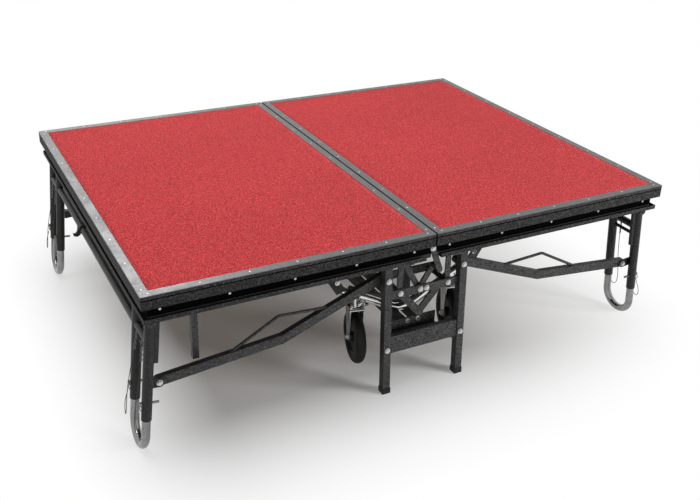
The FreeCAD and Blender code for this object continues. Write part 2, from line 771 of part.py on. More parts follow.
def post_bolts():
    """Brace pivots, level, with bushes that end on the leaning posts, and the crossbar bolts."""
    bolts = []
    seat_drop = (post_top - post_bolt_z + post_size / 2 * post_sine) / post_cosine
    seat_y = post_y + post_size / 2 * post_cosine + seat_drop * post_sine
    for side in (-1, 1):
        x = side * post_x
        envelope = lean_post(block(x - post_size, x + post_size, post_inner_face, post_outer_face,
                                   0.0, post_top))
        head = lean_post(hex_head(x, post_top - seat_drop, post_outer_face, 1))
        shank = rod_y(shank_radius, x, post_bolt_z, brace_inner_y, seat_y + washer_thickness)
        bush = rod_y(spacer_radius, x, post_bolt_z, brace_outer_y + touch, post_y).cut(envelope)
        nut = hex_head(x, post_bolt_z, brace_inner_y - touch, -1)
        tail = rod_y(shank_radius, x, post_bolt_z, brace_inner_y - touch - bolt_head, brace_inner_y)
        bolts.append(shank.multiFuse([head, bush, nut, tail]))
        low_head = hex_head(x, low_bolt_z, post_outer_face, 1)
        low_shank = rod_y(shank_radius, x, low_bolt_z, post_inner_face, post_outer_face)
        bolts.append(lean_post(low_shank.fuse(low_head)))
    return bolts


# ---- centre carriage (drawn at the front, repeated at the rear by a half turn) ---------------
def spine():
    """Thin plate in the fold gap with lugs that hold the two hinge pins."""
    half = spine_thickness / 2
    top = hinge_z - spine_shelf
    shelf = top - spine_shelf
    plate = block(-half, half, -inner_y, inner_y, spine_bottom, top)
    tongue = block(-half, half, -arm_y, arm_y, spine_bottom, arm_top[1] + arm_width / 2)
    lugs = []
    for y in station_places():
        y0 = y - lug_thickness / 2
        y1 = y + lug_thickness / 2
        for side in (-1, 1):
            eye_x = side * hinge_offset
            neck = knuckle_radius - 1.0
            outline = [(0.0, top), (0.0, shelf), (eye_x + side * neck, shelf), (eye_x + side * neck, hinge_z),
                       (eye_x - side * neck, hinge_z), (eye_x - side * neck, top)]
            lugs.append(plate_xz(outline, y0, y1))
            lugs.append(rod_y(knuckle_radius, eye_x, hinge_z, y0, y1))
    body = plate.multiFuse([tongue] + lugs)
    for side in (-1, 1):
        reach = half_width
        body = body.cut(rod_y(hinge_pin_radius, side * hinge_offset, hinge_z, -reach, reach))
    return body.removeSplitter()


def hinge_pins():
    reach = hinge_pitch * (hinge_count - 1) / 2 + leaf_length / 2 + pin_over
    return [rod_y(hinge_pin_radius, side * hinge_offset, hinge_z, -reach, reach) for side in (-1, 1)]


def gooseneck():
    """Bent arm from the spine's tongue in the rail recess down to the link bar."""
    upper = flat_link(arm_top, arm_knee, arm_width, -arm_y, -arm_y - arm_thickness)
    lower = flat_link(arm_knee, (mid_bolts[0], link_z), arm_width, -strap_y, -link_y)
    bush = rod_y(spacer_radius, arm_knee[0], arm_knee[1], -link_y, -arm_y)
    return upper.multiFuse([lower, bush]).removeSplitter()


def link_bar():
    return block(-link_half, link_half, -link_y, -link_y - plate_thickness,
                 link_z - link_height / 2, link_z + link_height / 2)


def inner_link():
    reach = link_bolt_x + inner_link_over
    return block(-reach, reach, -truss_y - plate_thickness / 2,
                 -truss_y - plate_thickness * 1.5, link_z - link_height / 2, link_z + link_height / 2)


def straps():
    """Uprights to the saddles, the diagonal, the lower links and the deck struts."""
    pieces = []
    saddle_low = frame_bottom - saddle_thickness
    for side in (-1, 1):
        x = side * link_bolt_x
        strap = block(x - strap_width / 2, x + strap_width / 2, -strap_y, -link_y, link_z, saddle_low)
        foot = rod_y(strap_width / 2, x, link_z, -strap_y, -link_y)
        saddle = block(x - saddle_length / 2, x + saddle_length / 2, -strap_y, -half_width + flange_inset,
                       saddle_low, frame_bottom)
        pieces.append(strap.multiFuse([foot, saddle]).removeSplitter())
        strut = plate_xz([(side * (strut_top - strut_width / 2), saddle_low),
                          (side * (strut_top + strut_width / 2), saddle_low),
                          (side * (vee_end[0] + strut_width / 4), vee_end[1] - strut_width / 4),
                          (side * (vee_end[0] - strut_width / 2), vee_end[1])],
                         -truss_y - vee_radius, -truss_y - vee_radius - plate_thickness)
        seat = block(side * strut_top - strut_width, side * strut_top + strut_width,
                     -bearer_y + bearer_width / 2, -truss_y - vee_radius - plate_thickness,
                     saddle_low, frame_bottom)
        pieces.append(strut.fuse(seat).removeSplitter())
    top = (-link_bolt_x + diagonal_top[0], saddle_low - diagonal_top[1])
    pieces.append(flat_link(top, (mid_bolts[0], link_z), strap_width, -diag_y, -strap_y))
    pieces.append(flat_link((-link_bolt_x, link_z), (0.0, low_node_z), low_link_width,
                            -low_y, -diag_y))
    pieces.append(flat_link((link_bolt_x, link_z), (0.0, low_node_z), low_link_width,
                            -low_y + plate_thickness, -low_y))
    return pieces


def vee_frame():
    """Bent tube that carries two casters, with their housings and mounting plates."""
    points = [vec(-vee_end[0], -truss_y, vee_end[1]), vec(-vee_half_base, -truss_y, vee_base_z),
              vec(vee_half_base, -truss_y, vee_base_z), vec(vee_end[0], -truss_y, vee_end[1])]
    tube = bent_rod(points, vee_bend, vee_radius)
    slope = (vee_end[1] - vee_base_z) / (vee_end[0] - vee_half_base)
    arm_z = vee_base_z + (kingpin_x - vee_half_base) * slope
    extras = []
    for side in (-1, 1):
        x = side * kingpin_x
        half = mount_plate / 2
        extras.append(upright(vee_radius, x, -truss_y, mount_z, arm_z))
        extras.append(block(x - half, x + half, -truss_y - half, -truss_y + half,
                            mount_z, mount_z + mount_thickness))
        pitch = mount_bolt_pitch / 2
        top = mount_z + mount_thickness
        for dx, dy in ((-pitch, -pitch), (-pitch, pitch), (pitch, -pitch), (pitch, pitch)):
            extras.append(upright(mount_bolt_radius, x + dx, -truss_y + dy, top, top + mount_bolt_head))
    return tube.multiFuse(extras).removeSplitter()


def carriage_frame():
    """Uprights to the spine, spacer tubes, tie rods, and the two long beams."""
    face = -truss_y - plate_thickness / 2
    half = upright_width / 2
    neck = neck_width / 2
    shoulder = frame_bottom - neck_gap
    rise = math.atan2(vee_end[1] - vee_base_z, vee_end[0] - vee_half_base)
    foot = min(half - touch, vee_half_base - vee_bend * math.tan(rise / 2) - foot_margin)
    seat = vee_base_z + vee_radius
    outline = [(-foot, seat), (foot, seat), (half, seat + half - foot), (half, shoulder), (neck, shoulder),
               (neck, spine_bottom), (-neck, spine_bottom), (-neck, shoulder), (-half, shoulder),
               (-half, seat + half - foot)]
    pieces = [plate_xz(outline, face, face + plate_thickness)]
    for side in (-1, 1):
        x = side * link_bolt_x
        start = -truss_y - plate_thickness * 1.5
        link_face = low_y if side < 0 else low_y - plate_thickness
        pieces.append(rod_y(spacer_radius, x, link_z, start, -link_face))
        pieces.append(rod_y(spacer_radius, x, link_z, -link_face - plate_thickness, -strap_y))
        tie_y = -truss_y - vee_radius * 2
        tie = rod(tie_radius, vec(side * tie_end[0], tie_y, tie_end[1]), vec(0, tie_y, low_node_z))
        pieces.append(tie.cut(rod_y(low_spacer_radius, 0.0, low_node_z, face, -low_y + plate_thickness)))
    pieces.append(rod_y(low_spacer_radius, 0.0, low_node_z, face, -low_y + plate_thickness))
    return pieces


def long_beams():
    low = vee_base_z - vee_radius - beam_size
    return [hollow_box(side * beam_x - beam_size / 2, side * beam_x + beam_size / 2, -beam_half_length,
                       beam_half_length, low, low + beam_size, tube_wall, "y") for side in (-1, 1)]


def carriage_bolts():
    """Bolts of the link bar, the arm, the struts and the cradle bar."""
    outer = -link_y - plate_thickness
    heads = [hex_head(x, link_z, outer, -1) for x in (-link_bolt_x, mid_bolts[0], mid_bolts[1], link_bolt_x)]
    heads.append(hex_head(arm_top[0], arm_top[1], -arm_y - arm_thickness, -1))
    strut_face = -truss_y - vee_radius - plate_thickness
    x, z = strut_bolt
    heads += [hex_head(side * x, z, strut_face, -1) for side in (-1, 1)]
    cradle_face = -beam_half_length - cradle_thickness
    heads += [hex_head(x, cradle_bolt_z, cradle_face, -1) for x in cradle_bolts]
    return heads


def cradle_bar():
    """Angle across the ends of the long beams, with its lip turned out."""
    face = -beam_half_length
    low = cradle_bottom
    wall = block(-cradle_half, cradle_half, face, face - cradle_thickness, low, low + cradle_height)
    lip = block(-cradle_half, cradle_half, face, face - cradle_lip, low, low + cradle_thickness)
    return wall.fuse(lip).removeSplitter()


# ---- casters --------------------------------------------------------------------------------
def turn_to_place(shape, sx, sy):
    """Carry a caster piece drawn with its kingpin on the Z axis to its corner."""
    turned = shape.copy()
    turned.rotate(vec(0, 0, 0), vec(0, 0, 1), swivel_rest + (180.0 if sy > 0 else 0.0))
    turned.translate(vec(sx * kingpin_x, sy * truss_y, 0))
    return turned


def caster_fork():
    leg_in = wheel_width / 2 + fork_gap
    leg_out = leg_in + fork_plate
    crown = upright(crown_radius, 0.0, 0.0, crown_z, crown_z + fork_plate)
    yoke = block(-leg_out, leg_out, -wheel_trail - yoke_front, yoke_back, crown_z, crown_z + fork_plate)
    bearing = upright(crown_radius - bearing_inset, 0.0, 0.0, crown_z + fork_plate, bearing_top)
    pieces = [crown, yoke, bearing]
    for side in (-1, 1):
        outline = [(yoke_back, crown_z), (-wheel_trail + boss_radius, wheel_z),
                   (-wheel_trail - boss_radius, wheel_z), (-wheel_trail - yoke_front, crown_z)]
        ring = [vec(side * leg_in, y, z) for y, z in outline]
        leg = Part.Face(Part.makePolygon(ring + ring[:1])).extrude(vec(side * fork_plate, 0, 0))
        boss = rod_x(boss_radius, -wheel_trail, wheel_z, side * leg_in, side * leg_out)
        pieces += [leg, boss]
        nut = hexagon(axle_nut_radius, 0.0, wheel_z, leg_out, leg_out + bolt_head)
        nut.rotate(vec(0, 0, 0), vec(0, 0, 1), -side * 90)
        nut.translate(vec(0, -wheel_trail, 0))
        pieces.append(nut)
    pieces.append(rod_x(axle_radius, -wheel_trail, wheel_z, -leg_out - axle_over, leg_out + axle_over))
    return crown.multiFuse(pieces[1:]).removeSplitter()


def caster_wheel():
    """Solid rubber tyre on a dished rim, drawn with its axle along X."""
    half = wheel_width / 2
    tyre = Part.makeCylinder(wheel_radius, wheel_width, vec(-half, 0, 0), vec(1, 0, 0))
    crowned = [edge for edge in tyre.Edges if abs(edge.Length - 2 * math.pi * wheel_radius) < 1.0]
    tyre = tyre.makeFillet(tyre_shoulder, crowned)
    tyre = tyre.cut(rod_x(rim_radius, 0, 0, -half, half))
    rim_half = half - rim_inset
    rim = rod_x(rim_radius, 0, 0, -rim_half, rim_half)
    for side in (-1, 1):
        dish = rod_x(rim_radius - rim_dish, 0, 0, side * rim_half, side * (rim_half - rim_dish))
        rim = rim.cut(dish)
    hub = rod_x(hub_radius, 0, 0, -half - fork_gap + touch, half + fork_gap - touch)
    rim = rim.fuse(hub).cut(rod_x(axle_radius + running, 0, 0, -wheel_width, wheel_width))
    pieces = [tyre, rim]
    for piece in pieces:
        piece.translate(vec(0, -wheel_trail, wheel_z))
    return pieces


# ---- lanyards (drawn at the right rear corner) ------------------------------------------------
def cord_bends(points):
    """Largest tangent-arc radius at each inner point of a route."""
    bends = []
    for before, corner, after in zip(points, points[1:], points[2:]):
        back = before.sub(corner)
        ahead = after.sub(corner)
        run = min(back.Length, ahead.Length)
        turn = math.pi - back.getAngle(ahead)
        bends.append(0.45 * run / math.tan(turn / 2))
    return bends


def cord_tube(route):
    """Round cord along straight runs joined by the largest tangent arcs."""
    points = [vec(leg_x + x, y, z) for x, y, z in route]
    edges = []
    start = points[0]
    for radius, before, corner, after in zip(cord_bends(points), points, points[1:], points[2:]):
        back = before.sub(corner).normalize()
        ahead = after.sub(corner).normalize()
        half = back.getAngle(ahead) / 2
        reach = radius / math.tan(half)
        first = corner + back * reach
        last = corner + ahead * reach
        middle = corner + (back + ahead).normalize() * (radius / math.sin(half) - radius)
        edges.append(Part.LineSegment(start, first).toShape())
        edges.append(Part.Arc(first, middle, last).toShape())
        start = last
    edges.append(Part.LineSegment(start, points[-1]).toShape())
    path = Part.Wire(edges)
    section = Part.Wire(Part.makeCircle(cord_radius, points[0], points[1].sub(points[0])))
    tube = path.makePipeShell([section], True, False)
    expected = math.pi * cord_radius ** 2 * path.Length
    print("cord length %.1f, volume ratio %.4f, bends %s" % (
        path.Length, tube.Volume / expected, " ".join("%.0f" % bend for bend in cord_bends(points))))
    return tube


# ---- assembly -------------------------------------------------------------------------------
def save_decks():
    for sx, side in SIDES:
        name = side + "_deck_"
        save(name + "board", [quad(deck_board(), sx, 1)])
        save(name + "carpet", [quad(deck_carpet(), sx, 1)])
        save(name + "trim", [quad(bar, sx, 1) for bar in trim_bars()])
        save(name + "rails", [quad(rail, sx, 1) for rail in profile_rails() + [fold_rail()]])
        save(name + "under_frame", [quad(piece, sx, 1) for piece in under_frame() + stop_post(sx)])
        save(name + "hinge_leaves", [quad(leaf, sx, 1) for leaf in hinge_leaves()])
        save(name + "leg_ears", [quad(ear, sx, 1) for ear in leg_ears()])
        save(name + "screws", [quad(head, sx, 1) for head in deck_screws()])


def save_legs():
    for sx, side in SIDES:
        save(side + "_leg_tubes", [quad(lean_leg(leg_tube(y)), sx, 1) for y in leg_tube_places()])
        save(side + "_leg_crossbars", [quad(lean_leg(piece), sx, 1) for piece in leg_crossbars()])
        save(side + "_leg_brackets", [quad(lean_leg(piece), sx, 1) for piece in leg_brackets()])
        tubes = [quad(lean_leg(cord_tube(route)), sx, sy) for route in lanyard_routes for sy, _ in ENDS]
        save(side + "_lanyards", tubes)


def save_corners():
    for sy, end in ENDS:
        for sx, side in SIDES:
            corner = end + "_" + side + "_"
            save(corner + "foot", [quad(lean_leg(u_foot()), sx, sy)])
            save(corner + "lock_pins", [quad(lean_leg(pin), sx, sy) for pin in lock_pins()])
            save(corner + "brace", [quad(brace(), sx, sy)])
            save(corner + "caster_fork", [turn_to_place(caster_fork(), sx, sy)])
            save(corner + "wheel", [turn_to_place(piece, sx, sy) for piece in caster_wheel()])


def save_posts():
    for sy, end in ENDS:
        save(end + "_posts", [quad(post, 1, sy) for post in post_pair()])
        save(end + "_post_crossbar", [quad(post_crossbar(), 1, sy)])
        save(end + "_post_caps", [quad(cap, 1, sy) for cap in post_caps()])
        save(end + "_post_bolts", [quad(bolt, 1, sy) for bolt in post_bolts()])


def save_carriage():
    save("centre_spine", [spine()])
    save("hinge_pins", hinge_pins())
    save("gooseneck_arms", both_ends([gooseneck()]))
    save("link_bars", both_ends([link_bar(), inner_link()]))
    save("carriage_straps", both_ends(straps()))
    save("vee_frames", both_ends([vee_frame()]))
    save("carriage_frame", both_ends(carriage_frame() + [cradle_bar()]) + long_beams())
    save("carriage_bolts", both_ends(carriage_bolts()))


os.makedirs("parts", exist_ok=True)
save_decks()
save_legs()
save_corners()
save_posts()
save_carriage()
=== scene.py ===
"""Looks for the folding stage platform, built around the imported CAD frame."""
import json
import math
import random

import bmesh
import bpy
from mathutils import Matrix, Vector, noise


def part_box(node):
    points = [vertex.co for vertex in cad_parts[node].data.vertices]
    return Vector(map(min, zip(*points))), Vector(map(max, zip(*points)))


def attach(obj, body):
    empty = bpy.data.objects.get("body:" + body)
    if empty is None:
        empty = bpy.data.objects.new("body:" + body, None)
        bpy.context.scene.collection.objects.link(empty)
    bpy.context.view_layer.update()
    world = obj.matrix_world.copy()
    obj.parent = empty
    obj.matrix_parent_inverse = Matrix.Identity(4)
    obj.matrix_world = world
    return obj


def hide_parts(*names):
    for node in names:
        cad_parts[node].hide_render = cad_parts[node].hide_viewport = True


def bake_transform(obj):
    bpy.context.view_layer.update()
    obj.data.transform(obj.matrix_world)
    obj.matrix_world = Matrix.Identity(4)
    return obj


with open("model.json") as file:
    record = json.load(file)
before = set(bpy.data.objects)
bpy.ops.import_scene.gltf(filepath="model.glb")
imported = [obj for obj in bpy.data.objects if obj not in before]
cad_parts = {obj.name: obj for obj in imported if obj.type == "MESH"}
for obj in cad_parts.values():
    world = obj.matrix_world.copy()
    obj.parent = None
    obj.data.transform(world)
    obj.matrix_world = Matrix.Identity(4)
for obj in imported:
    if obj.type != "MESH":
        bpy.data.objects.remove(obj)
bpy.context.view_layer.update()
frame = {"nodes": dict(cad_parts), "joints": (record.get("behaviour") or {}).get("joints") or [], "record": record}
nodes = frame["nodes"]
SIDES = ((-1, "left"), (1, "right"))
ENDS = ((-1, "front"), (1, "rear"))
CORNERS = [(sx, side, sy, end) for sy, end in ENDS for sx, side in SIDES]


# ---- materials ----------------------------------------------------------------------------
def new_material(name, roughness=0.5, metallic=0.0, **sockets):
    """A material with one principled shader, and its constant sockets set on the shader."""
    material = bpy.data.materials.new(name)
    material.use_nodes = True
    tree = material.node_tree
    tree.nodes.clear()
    out = tree.nodes.new("ShaderNodeOutputMaterial")
    shader = tree.nodes.new("ShaderNodeBsdfPrincipled")
    tree.links.new(shader.outputs["BSDF"], out.inputs["Surface"])
    shader.inputs["Roughness"].default_value = roughness
    shader.inputs["Metallic"].default_value = metallic
    for socket, value in sockets.items():
        shader.inputs[socket.replace("_", " ")].default_value = value
    return material, tree, shader


def grain(tree, scale, detail=2.0, stretch=(1, 1, 1), rough=0.5):
    """Noise in the piece's own coordinates; scale counts lumps per metre."""
    place = tree.nodes.new("ShaderNodeTexCoord")
    mapping = tree.nodes.new("ShaderNodeMapping")
    mapping.inputs["Scale"].default_value = stretch
    tex = tree.nodes.new("ShaderNodeTexNoise")
    tex.inputs["Scale"].default_value = scale
    tex.inputs["Detail"].default_value = detail
    tex.inputs["Roughness"].default_value = rough
    tree.links.new(place.outputs["Object"], mapping.inputs["Vector"])
    tree.links.new(mapping.outputs["Vector"], tex.inputs["Vector"])
    return tex.outputs["Fac"]


def ramp(tree, factor, stops, interpolation="LINEAR"):
    """Colours along a factor, from stops of (place, colour) in rising order."""
    node = tree.nodes.new("ShaderNodeValToRGB")
    node.color_ramp.interpolation = interpolation
    first, last = node.color_ramp.elements[0], node.color_ramp.elements[-1]
    first.position, first.color = stops[0][0], (*stops[0][1], 1)
    last.position, last.color = stops[-1][0], (*stops[-1][1], 1)
    for place, colour in stops[1:-1]:
        element = node.color_ramp.elements.new(place)
        element.color = (*colour, 1)
    tree.links.new(factor, node.inputs["Fac"])
    return node.outputs["Color"]


def levels(tree, factor, low, high, out_low, out_high):
    """The factor's range from low to high, mapped to another range."""
    node = tree.nodes.new("ShaderNodeMapRange")
    for key, value in (("From Min", low), ("From Max", high), ("To Min", out_low), ("To Max", out_high)):
        node.inputs[key].default_value = value
    tree.links.new(factor, node.inputs["Value"])
    return node.outputs["Result"]


def blend_colours(tree, a, b, mode="MULTIPLY", factor=1.0):
    node = tree.nodes.new("ShaderNodeMix")
    node.data_type = "RGBA"
    node.blend_type = mode
    node.inputs["Factor"].default_value = factor
    tree.links.new(a, node.inputs["A"])
    tree.links.new(b, node.inputs["B"])
    return node.outputs["Result"]


def bump(tree, shader, height, strength, distance):
    node = tree.nodes.new("ShaderNodeBump")
    node.inputs["Strength"].default_value = strength
    node.inputs["Distance"].default_value = distance
    tree.links.new(height, node.inputs["Height"])
    tree.links.new(node.outputs["Normal"], shader.inputs["Normal"])


def grey(value):
    return (value, value, value)


def powder_coat(name, dark, light, roughness=0.5, scale=260.0):
    """Textured paint: fine speckle, slow drift in shade, and an orange-peel bump."""
    material, tree, shader = new_material(name, roughness, Specular_IOR_Level=0.3)
    speckle = grain(tree, scale, 3.0, rough=0.7)
    middle = dark + (light - dark) * 0.35
    colour = ramp(tree, speckle, [(0.40, grey(dark)), (0.53, grey(middle)), (0.64, grey(light))])
    drift = ramp(tree, grain(tree, 3.0, 2.0), [(0.3, grey(0.82)), (0.7, grey(1.0))])
    tree.links.new(blend_colours(tree, colour, drift), shader.inputs["Base Color"])
    bump(tree, shader, speckle, 0.35, 0.0006)
    return material


def bare_metal(name, tint, roughness, spread=0.12, scale=90.0, metallic=1.0):
    """Plain or plated metal with faint drawn marks and cloudy patches."""
    material, tree, shader = new_material(name, roughness, metallic)
    marks = grain(tree, scale, 4.0, rough=0.6)
    low = tuple(c * (1 - spread) for c in tint)
    high = tuple(min(1.0, c * (1 + spread)) for c in tint)
    tree.links.new(ramp(tree, marks, [(0.3, low), (0.7, high)]), shader.inputs["Base Color"])
    cloud = levels(tree, grain(tree, 14.0, 3.0), 0.3, 0.7, roughness * 0.8, roughness * 1.25)
    tree.links.new(cloud, shader.inputs["Roughness"])
    bump(tree, shader, marks, 0.12, 0.0003)
    return material


def rail_coat(name, bands):
    """Charcoal powder coat whose tone changes at the given heights: (height, tone, roughness)."""
    material, tree, shader = new_material(name, 0.6, Specular_IOR_Level=0.08)
    speckle = grain(tree, 230.0, 3.0, rough=0.75)
    colour = ramp(tree, speckle, [(0.38, grey(0.003)), (0.52, grey(0.013)), (0.66, grey(0.042))])
    place = tree.nodes.new("ShaderNodeTexCoord")
    parts = tree.nodes.new("ShaderNodeSeparateXYZ")
    tree.links.new(place.outputs["Object"], parts.inputs["Vector"])
    low, high = bands[0][0], bands[-1][0] + 0.02
    height = levels(tree, parts.outputs["Z"], low, high, 0.0, 1.0)
    stops = [((z - low) / (high - low), tone, rough) for z, tone, rough in bands]
    shade = ramp(tree, height, [(at, grey(tone)) for at, tone, _ in stops], "CONSTANT")
    tree.links.new(blend_colours(tree, colour, shade), shader.inputs["Base Color"])
    gloss = ramp(tree, height, [(at, grey(rough)) for at, _, rough in stops], "CONSTANT")
    tree.links.new(gloss, shader.inputs["Roughness"])
    bump(tree, shader, speckle, 0.4, 0.0007)
    return material


def carpet_material():
    """Needle felt: short red fibres, darker and lighter tufts, and a slow drift in shade."""
    material, tree, shader = new_material("red_carpet", 0.95, Specular_IOR_Level=0.15,
                                          Sheen_Weight=0.08, Sheen_Roughness=0.6)
    shader.inputs["Sheen Tint"].default_value = (1.0, 0.55, 0.55, 1)
    fibre = grain(tree, 260.0, 3.0, rough=0.8)
    colour = ramp(tree, fibre, [(0.38, (0.22, 0.010, 0.014)), (0.5, (0.56, 0.038, 0.043)),
                                (0.62, (0.98, 0.13, 0.13))])
    tufts = ramp(tree, grain(tree, 235.0, 4.0, rough=0.9), [(0.40, grey(0.50)), (0.60, grey(1.44))])
    drift = ramp(tree, grain(tree, 1.6, 2.0), [(0.3, grey(0.93)), (0.7, grey(1.0))])
    worn = blend_colours(tree, blend_colours(tree, colour, tufts), drift)
    tree.links.new(worn, shader.inputs["Base Color"])
    bump(tree, shader, fibre, 0.6, 0.0012)
    return material


def rubber(name, value, roughness):
    """Moulded rubber with faint scuffs and a fine matt bump."""
    material, tree, shader = new_material(name, roughness, Specular_IOR_Level=0.22)
    scuffs = ramp(tree, grain(tree, 60.0, 4.0), [(0.3, grey(value * 0.7)), (0.7, grey(value * 1.4))])
    tree.links.new(scuffs, shader.inputs["Base Color"])
    bump(tree, shader, grain(tree, 500.0, 2.0), 0.15, 0.0002)
    return material


def plywood():
    """Board with its grain along Y: broad figure and fine dark streaks."""
    material, tree, shader = new_material("plywood", 0.7)
    figure = grain(tree, 30.0, 3.0, (0.9, 0.07, 14.0))
    streaks = grain(tree, 30.0, 4.0, (9.0, 0.25, 14.0), 0.7)
    colour = ramp(tree, figure, [(0.3, (0.36, 0.22, 0.11)), (0.7, (0.52, 0.36, 0.21))])
    pores = ramp(tree, streaks, [(0.35, grey(0.72)), (0.65, grey(1.1))])
    tree.links.new(blend_colours(tree, colour, pores), shader.inputs["Base Color"])
    bump(tree, shader, streaks, 0.2, 0.0004)
    return material


# From the bottom up: flange, recess, fascia, the fascia's groove and the edge above the groove. The near-black
# recess band is the web's own black with painted recess shade on it; the dark groove band, wider than the groove
# itself, is painted shadow of the seam under the trim.
RAIL_BANDS = ((0.615, 1.9, 0.6), (0.6385, 0.02, 1.0), (0.6835, 1.6, 0.6), (0.7195, 0.05, 1.0),
              (0.7240, 2.0, 0.5))
LOOKS = {
    "black_steel": powder_coat("black_steel", 0.001, 0.088, 0.5, 190.0),
    "leg_steel": powder_coat("leg_steel", 0.001, 0.034, 0.42, 190.0),
    "rail_black": rail_coat("rail_black", RAIL_BANDS),
    "bolt_zinc": bare_metal("bolt_zinc", grey(0.56), 0.27),
    "screw_zinc": bare_metal("screw_zinc", grey(0.52), 0.26),
    "vee_zinc": bare_metal("vee_zinc", grey(0.74), 0.13, 0.08),
    "trim_aluminium": bare_metal("trim_aluminium", grey(0.13), 0.38, 0.25, 160.0, metallic=0.85),
    "red_carpet": carpet_material(),
    "plywood": plywood(),
    "foot_zinc": bare_metal("foot_zinc", grey(0.26), 0.17, 0.2, 40.0),
    "fork_steel": bare_metal("fork_steel", grey(0.50), 0.36, 0.15, 60.0),
    "pin_steel": bare_metal("pin_steel", grey(0.20), 0.3),
    "rim_steel": powder_coat("rim_steel", 0.006, 0.030, 0.4, 230.0),
    "tyre_rubber": rubber("tyre_rubber", 0.004, 0.55),
    "cap_rubber": rubber("cap_rubber", 0.010, 0.4),
    "lanyard_wire": bare_metal("lanyard_wire", (0.07, 0.063, 0.056), 0.5, 0.2, 300.0),
}

# Each CAD node gets its slot's look, apart from the leg frames and the lock pins.
for subpart in frame["record"]["subparts"]:
    look = LOOKS[subpart["material_slot"]]
    mesh = nodes[subpart["node"]].data
    mesh.materials.clear()
    mesh.materials.append(look)
for _, side in SIDES:
    for part in ("tubes", "crossbars", "brackets"):
        nodes[side + "_leg_" + part].data.materials[0] = LOOKS["leg_steel"]
    for _, end in ENDS:
        nodes[end + "_" + side + "_lock_pins"].data.materials[0] = LOOKS["pin_steel"]


# ---- mesh helpers -------------------------------------------------------------------------
class Shape:
    """Collects closed shells in the row frame, in metres."""

    def __init__(self):
        self.verts = []
        self.faces = []

    def rings(self, rings, closed=False, caps=True):
        """Quads between rings of equal length; caps at both ends, or joined end to start."""
        base = len(self.verts)
        count = len(rings[0])
        for ring in rings:
            self.verts.extend(ring)
        last = len(rings) if closed else len(rings) - 1
        for k in range(last):
            a = base + k * count
            b = base + ((k + 1) % len(rings)) * count
            for i in range(count):
                j = (i + 1) % count
                self.faces.append((a + i, a + j, b + j, b + i))
        if caps and not closed:
            self.faces.append(tuple(base + i for i in reversed(range(count))))
            top = base + (len(rings) - 1) * count
            self.faces.append(tuple(top + i for i in range(count)))

    def lathe(self, profile, frame_matrix, segments=32, closed=False):
        """Profile of (radius, height) turned about the matrix's Z axis."""
        rings = []
        for radius, height in profile:
            ring = []
            for i in range(segments):
                a = 2 * math.pi * i / segments
                ring.append(frame_matrix @ Vector((radius * math.cos(a), radius * math.sin(a), height)))
            rings.append(ring)
        self.rings(rings, closed=closed)

    def tube(self, points, radius, sides=10, closed=False):
        """Round tube through points, with a frame that doesn't twist."""
        points = [Vector(p) for p in points]
        count = len(points)
        ways = []
        for i in range(count):
            a = points[i - 1] if (i or closed) else points[0]
            b = points[(i + 1) % count] if (i < count - 1 or closed) else points[-1]
            ways.append((b - a).normalized())
        side = ways[0].orthogonal().normalized()
        rings = []
        for point, way in zip(points, ways):
            side = (side - way * side.dot(way)).normalized()
            other = way.cross(side)
            rings.append([point + side * (radius * math.cos(t)) + other * (radius * math.sin(t))
                          for t in (2 * math.pi * k / sides for k in range(sides))])
        self.rings(rings, closed=closed)

    def build(self, name, look, body, smooth=35.0):
        mesh = bpy.data.meshes.new(name)
        mesh.from_pydata([tuple(v) for v in self.verts], [], self.faces)
        mesh.validate()
        shell = bmesh.new()
        shell.from_mesh(mesh)
        bmesh.ops.recalc_face_normals(shell, faces=shell.faces)
        shell.to_mesh(mesh)
        shell.free()
        mesh.polygons.foreach_set("use_smooth", [True] * len(mesh.polygons))
        mesh.set_sharp_from_angle(angle=math.radians(smooth))
        mesh.materials.append(LOOKS[look])
        piece = bpy.data.objects.new(name, mesh)
        bpy.context.scene.collection.objects.link(piece)
        if body:
            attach(piece, body)
        return piece


def pointing(origin, direction, spin=0.0):
    """Matrix with its Z axis along a direction."""
    turn = Vector(direction).normalized().to_track_quat("Z", "Y").to_matrix().to_4x4()
    return Matrix.Translation(Vector(origin)) @ turn @ Matrix.Rotation(spin, 4, "Z")


# ---- lanyards: the routes of part.py, in metres --------------------------------------------
CORD_RADIUS = 0.0015
LEG_AXIS = (1.174, 0.597)
LEG_LEAN = math.radians(5.5)
# Label, length, Y of the foot's pin, and the route: X from the leg's axis, Y and Z before the leg leans.
ROUTES = (
    ("outer", 0.5008, 0.846, (
        (0.014, 0.805, 0.4931), (0.015, 0.808, 0.440), (0.019, 0.815, 0.385), (0.026, 0.822, 0.328),
        (0.033, 0.826, 0.272), (0.038, 0.826, 0.218), (0.039, 0.823, 0.172), (0.039, 0.824, 0.139),
        (0.038, 0.832, 0.118), (0.037, 0.846, 0.110), (0.036, 0.860, 0.118), (0.035, 0.867, 0.138),
        (0.033, 0.864, 0.166), (0.030, 0.853, 0.190), (0.029, 0.848, 0.206))),
    ("inner", 0.5233, 0.691, (
        (0.014, 0.732, 0.4931), (0.016, 0.728, 0.441), (0.020, 0.722, 0.386), (0.027, 0.715, 0.329),
        (0.033, 0.711, 0.272), (0.038, 0.711, 0.216), (0.040, 0.715, 0.168), (0.040, 0.714, 0.130),
        (0.039, 0.706, 0.107), (0.037, 0.692, 0.098), (0.035, 0.678, 0.107), (0.034, 0.670, 0.130),
        (0.032, 0.673, 0.162), (0.030, 0.683, 0.188), (0.029, 0.689, 0.206))),
)


def leant(sx, sy, offset, y, z):
    """A point beside the upright leg, moved to where it is on the leaning one."""
    axis_x, pivot_z = LEG_AXIS
    drop = pivot_z - z
    return (sx * (axis_x + offset * math.cos(LEG_LEAN) + drop * math.sin(LEG_LEAN)), sy * y,
            pivot_z - drop * math.cos(LEG_LEAN) + offset * math.sin(LEG_LEAN))


